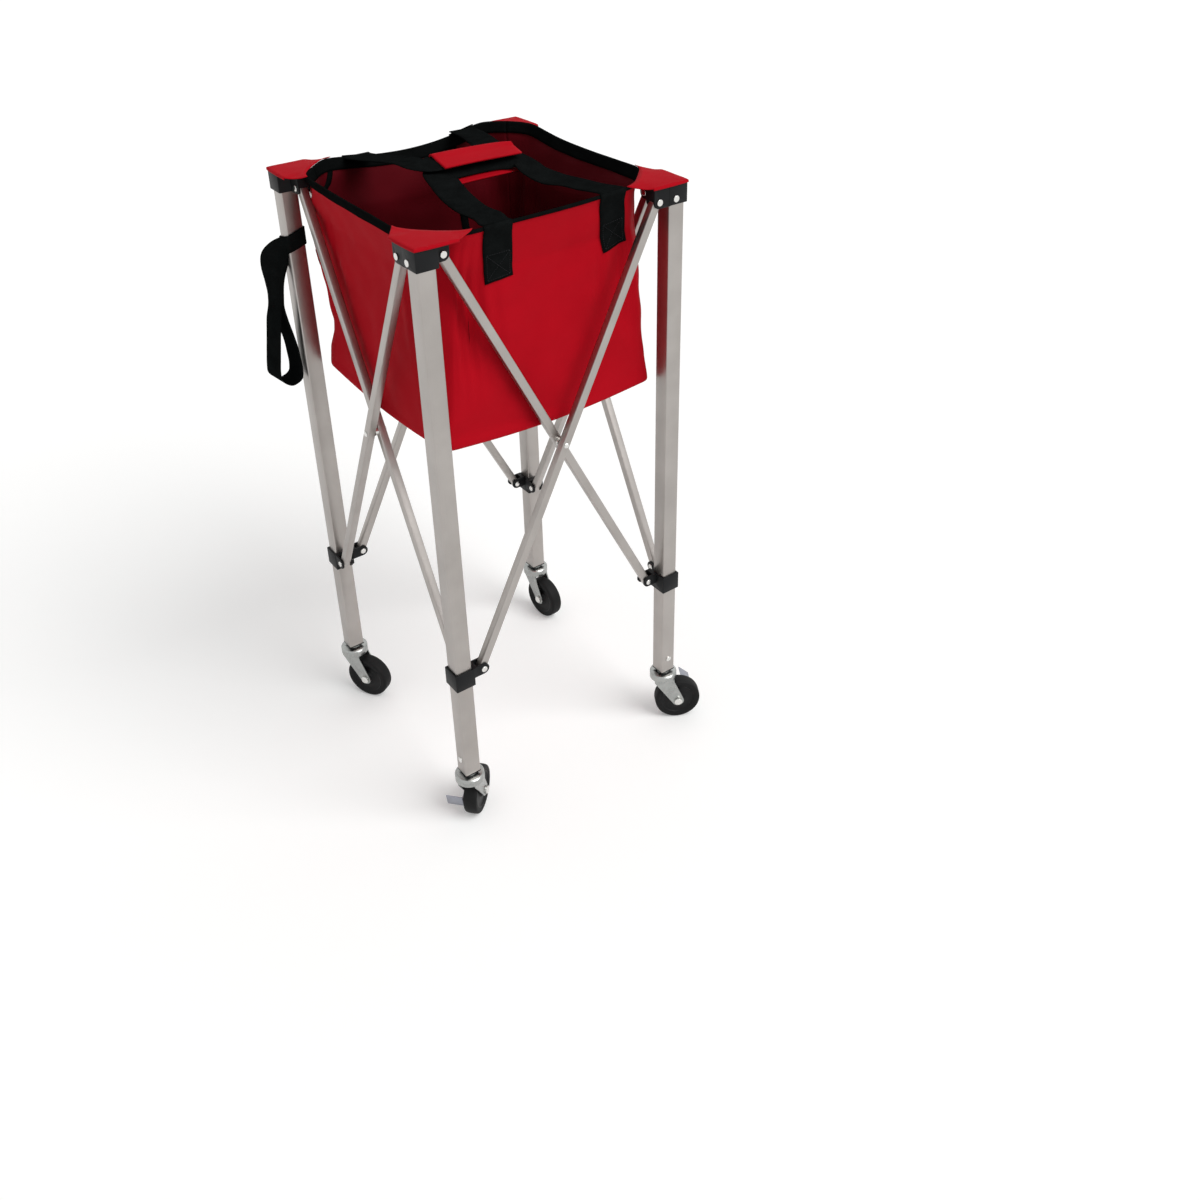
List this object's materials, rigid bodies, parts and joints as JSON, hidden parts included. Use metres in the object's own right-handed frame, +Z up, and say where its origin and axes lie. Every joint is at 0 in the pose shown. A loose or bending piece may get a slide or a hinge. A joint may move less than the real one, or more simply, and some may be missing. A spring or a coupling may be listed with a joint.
{
  "type": "tennis ball hopper",
  "caption": "Folding tennis ball hopper: square-tube legs on swivel casters, crossed brace bars and an open fabric bag with webbing carry handles.",
  "frame": {"origin": "on the floor, in the middle between the four legs", "axes": "+Z up, -Y towards the front face, which carries the front handle's two sewn tails, +X to the right of someone who looks at that face"},
  "size_m": [0.4987, 0.448, 0.953],
  "materials": {
    "satin_aluminium": "satin anodised",
    "rivet_steel": "bright",
    "zinc_plate": "bright zinc plate",
    "black_nylon": "moulded, satin",
    "black_wheel": "moulded, matt",
    "red_polyester": "coated plain weave",
    "black_webbing": "woven"
  },
  "bodies": {
    "frame": {"bag_front": "red_polyester", "cap_rivet_s_inner": "rivet_steel", "cap_rivet_w_outer": "rivet_steel", "cap_sw": "black_nylon", "foot_plug_sw": "black_nylon", "leg_sw": "satin_aluminium"},
    "brace_e_inner": {"brace_e_inner": "satin_aluminium", "cross_rivet_e": "rivet_steel"},
    "brace_e_outer": {"brace_e_outer": "satin_aluminium"},
    "brace_n_inner": {"brace_n_inner": "satin_aluminium"},
    "brace_n_outer": {"brace_n_outer": "satin_aluminium", "cross_rivet_n": "rivet_steel"},
    "brace_s_inner": {"brace_s_inner": "satin_aluminium", "cross_rivet_s": "rivet_steel"},
    "brace_s_outer": {"brace_s_outer": "satin_aluminium"},
    "brace_w_inner": {"brace_w_inner": "satin_aluminium"},
    "brace_w_outer": {"brace_w_outer": "satin_aluminium", "cross_rivet_w": "rivet_steel"},
    "brake_se": {"brake_lever_se": "zinc_plate"},
    "brake_sw": {"brake_lever_sw": "zinc_plate"},
    "caster_ne": {"caster_axle_ne": "zinc_plate", "caster_fork_ne": "zinc_plate"},
    "caster_nw": {"caster_axle_nw": "zinc_plate", "caster_fork_nw": "zinc_plate"},
    "caster_se": {"caster_axle_se": "zinc_plate", "caster_fork_se": "zinc_plate"},
    "caster_sw": {"caster_axle_sw": "zinc_plate", "caster_fork_sw": "zinc_plate"},
    "floor_n": {"bag_floor_n": "red_polyester"},
    "floor_s": {"bag_floor_s": "red_polyester"},
    "handle_n": {"handle_n": "black_webbing"},
    "handle_s": {"grip_wrap": "red_polyester", "handle_s": "black_webbing"},
    "leg_ne": {"bag_corner_ne": "red_polyester", "cap_ne": "black_nylon", "cap_rivet_e_outer": "rivet_steel", "cap_rivet_n_inner": "rivet_steel", "foot_plug_ne": "black_nylon", "leg_ne": "satin_aluminium"},
    "leg_nw": {"bag_north": "red_polyester", "cap_nw": "black_nylon", "cap_rivet_n_outer": "rivet_steel", "cap_rivet_w_inner": "rivet_steel", "foot_plug_nw": "black_nylon", "leg_nw": "satin_aluminium", "leg_strap": "black_webbing"},
    "leg_se": {"bag_east": "red_polyester", "cap_rivet_e_inner": "rivet_steel", "cap_rivet_s_outer": "rivet_steel", "cap_se": "black_nylon", "foot_plug_se": "black_nylon", "leg_se": "satin_aluminium"},
    "slider_ne": {"slider_ne": "black_nylon"},
    "slider_nw": {"slider_nw": "black_nylon"},
    "slider_se": {"slider_se": "black_nylon"},
    "slider_sw": {"slider_sw": "black_nylon"},
    "wheel_ne": {"caster_wheel_ne": "black_wheel"},
    "wheel_nw": {"caster_wheel_nw": "black_wheel"},
    "wheel_se": {"caster_wheel_se": "black_wheel"},
    "wheel_sw": {"caster_wheel_sw": "black_wheel"}
  },
  "joints": [
    {"name": "fold", "type": "hinge", "parent": "frame", "child": "brace_s_inner", "pos_m": [-0.156, -0.176, 0.9016], "axis": [0, 1, 0], "range_deg": [0, 23.3], "deforming": ["bag_front", "bag_east", "bag_north", "bag_corner_ne", "bag_floor_s", "bag_floor_n", "handle_s", "handle_n", "grip_wrap"]},
    {"name": "cross_s", "type": "hinge", "parent": "brace_s_inner", "child": "brace_s_outer", "pos_m": [0, -0.187, 0.5948], "axis": [0, 1, 0], "range_deg": [-46.6, 0]},
    {"name": "leg_se_upright", "type": "hinge", "parent": "brace_s_outer", "child": "leg_se", "pos_m": [0.156, -0.193, 0.9016], "axis": [0, 1, 0], "range_deg": [0, 23.3]},
    {"name": "slider_sw_upright", "type": "hinge", "parent": "brace_s_outer", "child": "slider_sw", "pos_m": [-0.156, -0.193, 0.288], "axis": [0, 1, 0], "range_deg": [0, 23.3]},
    {"name": "slider_se_upright", "type": "hinge", "parent": "brace_s_inner", "child": "slider_se", "pos_m": [0.156, -0.176, 0.288], "axis": [0, 1, 0], "range_deg": [-23.3, 0]},
    {"name": "lean_w", "type": "hinge", "parent": "frame", "child": "brace_w_outer", "pos_m": [-0.193, -0.156, 0.9016], "axis": [1, 0, 0], "range_deg": [-23.3, 0]},
    {"name": "cross_w", "type": "hinge", "parent": "brace_w_outer", "child": "brace_w_inner", "pos_m": [-0.187, 0, 0.5948], "axis": [1, 0, 0], "range_deg": [0, 46.6]},
    {"name": "leg_nw_upright", "type": "hinge", "parent": "brace_w_inner", "child": "leg_nw", "pos_m": [-0.176, 0.156, 0.9016], "axis": [1, 0, 0], "range_deg": [-23.3, 0]},
    {"name": "slider_nw_upright", "type": "hinge", "parent": "brace_w_outer", "child": "slider_nw", "pos_m": [-0.193, 0.156, 0.288], "axis": [1, 0, 0], "range_deg": [0, 23.3]},
    {"name": "lean_e", "type": "hinge", "parent": "leg_se", "child": "brace_e_inner", "pos_m": [0.176, -0.156, 0.9016], "axis": [-1, 0, 0], "range_deg": [0, 23.3]},
    {"name": "cross_e", "type": "hinge", "parent": "brace_e_inner", "child": "brace_e_outer", "pos_m": [0.187, 0, 0.5948], "axis": [-1, 0, 0], "range_deg": [-46.6, 0]},
    {"name": "leg_ne_upright", "type": "hinge", "parent": "brace_e_outer", "child": "leg_ne", "pos_m": [0.193, 0.156, 0.9016], "axis": [-1, 0, 0], "range_deg": [0, 23.3]},
    {"name": "slider_ne_upright", "type": "hinge", "parent": "brace_e_inner", "child": "slider_ne", "pos_m": [0.176, 0.156, 0.288], "axis": [-1, 0, 0], "range_deg": [-23.3, 0]},
    {"name": "lean_n", "type": "hinge", "parent": "leg_nw", "child": "brace_n_outer", "pos_m": [-0.156, 0.193, 0.9016], "axis": [0, -1, 0], "range_deg": [-23.3, 0]},
    {"name": "cross_n", "type": "hinge", "parent": "brace_n_outer", "child": "brace_n_inner", "pos_m": [0, 0.187, 0.5948], "axis": [0, -1, 0], "range_deg": [0, 46.6]},
    {"name": "floor_s_drop", "type": "hinge", "parent": "frame", "child": "floor_s", "pos_m": [0, -0.1649, 0.62], "axis": [-1, 0, 0], "range_deg": [0, 72.23]},
    {"name": "floor_n_drop", "type": "hinge", "parent": "leg_nw", "child": "floor_n", "pos_m": [0, 0.1649, 0.62], "axis": [1, 0, 0], "range_deg": [0, 72.23]},
    {"name": "handle_s_rise", "type": "hinge", "parent": "frame", "child": "handle_s", "pos_m": [0, -0.183, 0.9238], "axis": [1, 0, 0], "range_deg": [0, 66.87]},
    {"name": "handle_n_rise", "type": "hinge", "parent": "leg_nw", "child": "handle_n", "pos_m": [0, 0.183, 0.9238], "axis": [-1, 0, 0], "range_deg": [0, 66.87]},
    {"name": "swivel_sw", "type": "hinge", "parent": "frame", "child": "caster_sw", "pos_m": [-0.187, -0.187, 0], "axis": [0, 0, 1], "continuous": true},
    {"name": "roll_sw", "type": "hinge", "parent": "caster_sw", "child": "wheel_sw", "pos_m": [-0.16889, -0.17125, 0.0375], "axis": [-0.6561, 0.7547, 0], "continuous": true},
    {"name": "brake_sw_flip", "type": "hinge", "parent": "caster_sw", "child": "brake_sw", "pos_m": [-0.16889, -0.17125, 0.0375], "axis": [0.6561, -0.7547, 0], "range_deg": [-144, 0]},
    {"name": "swivel_se", "type": "hinge", "parent": "leg_se", "child": "caster_se", "pos_m": [0.187, -0.187, 0], "axis": [0, 0, 1], "continuous": true},
    {"name": "roll_se", "type": "hinge", "parent": "caster_se", "child": "wheel_se", "pos_m": [0.20778, -0.199, 0.0375], "axis": [0.5, 0.866, 0], "continuous": true},
    {"name": "brake_se_flip", "type": "hinge", "parent": "caster_se", "child": "brake_se", "pos_m": [0.20778, -0.199, 0.0375], "axis": [-0.5, -0.866, 0], "range_deg": [0, 144]},
    {"name": "swivel_ne", "type": "hinge", "parent": "leg_ne", "child": "caster_ne", "pos_m": [0.187, 0.187, 0], "axis": [0, 0, 1], "continuous": true},
    {"name": "roll_ne", "type": "hinge", "parent": "caster_ne", "child": "wheel_ne", "pos_m": [0.18909, 0.16309, 0.0375], "axis": [0.9962, 0.0872, 0], "continuous": true},
    {"name": "swivel_nw", "type": "hinge", "parent": "leg_nw", "child": "caster_nw", "pos_m": [-0.187, 0.187, 0], "axis": [0, 0, 1], "continuous": true},
    {"name": "roll_nw", "type": "hinge", "parent": "caster_nw", "child": "wheel_nw", "pos_m": [-0.175, 0.16622, 0.0375], "axis": [0.866, 0.5, 0], "continuous": true}
  ],
  "couplings": [
    {"joint": "cross_s", "follows": "fold", "ratio": -2},
    {"joint": "leg_se_upright", "follows": "fold", "ratio": 1},
    {"joint": "slider_sw_upright", "follows": "fold", "ratio": 1},
    {"joint": "slider_se_upright", "follows": "fold", "ratio": -1},
    {"joint": "lean_w", "follows": "fold", "ratio": -1},
    {"joint": "cross_w", "follows": "fold", "ratio": 2},
    {"joint": "leg_nw_upright", "follows": "fold", "ratio": -1},
    {"joint": "slider_nw_upright", "follows": "fold", "ratio": 1},
    {"joint": "lean_e", "follows": "fold", "ratio": 1},
    {"joint": "cross_e", "follows": "fold", "ratio": -2},
    {"joint": "leg_ne_upright", "follows": "fold", "ratio": 1},
    {"joint": "slider_ne_upright", "follows": "fold", "ratio": -1},
    {"joint": "lean_n", "follows": "fold", "ratio": -1},
    {"joint": "cross_n", "follows": "fold", "ratio": 2},
    {"joint": "floor_s_drop", "follows": "fold", "ratio": 3.1},
    {"joint": "floor_n_drop", "follows": "fold", "ratio": 3.1},
    {"joint": "handle_s_rise", "follows": "fold", "ratio": 2.87},
    {"joint": "handle_n_rise", "follows": "fold", "ratio": 2.87}
  ]
}
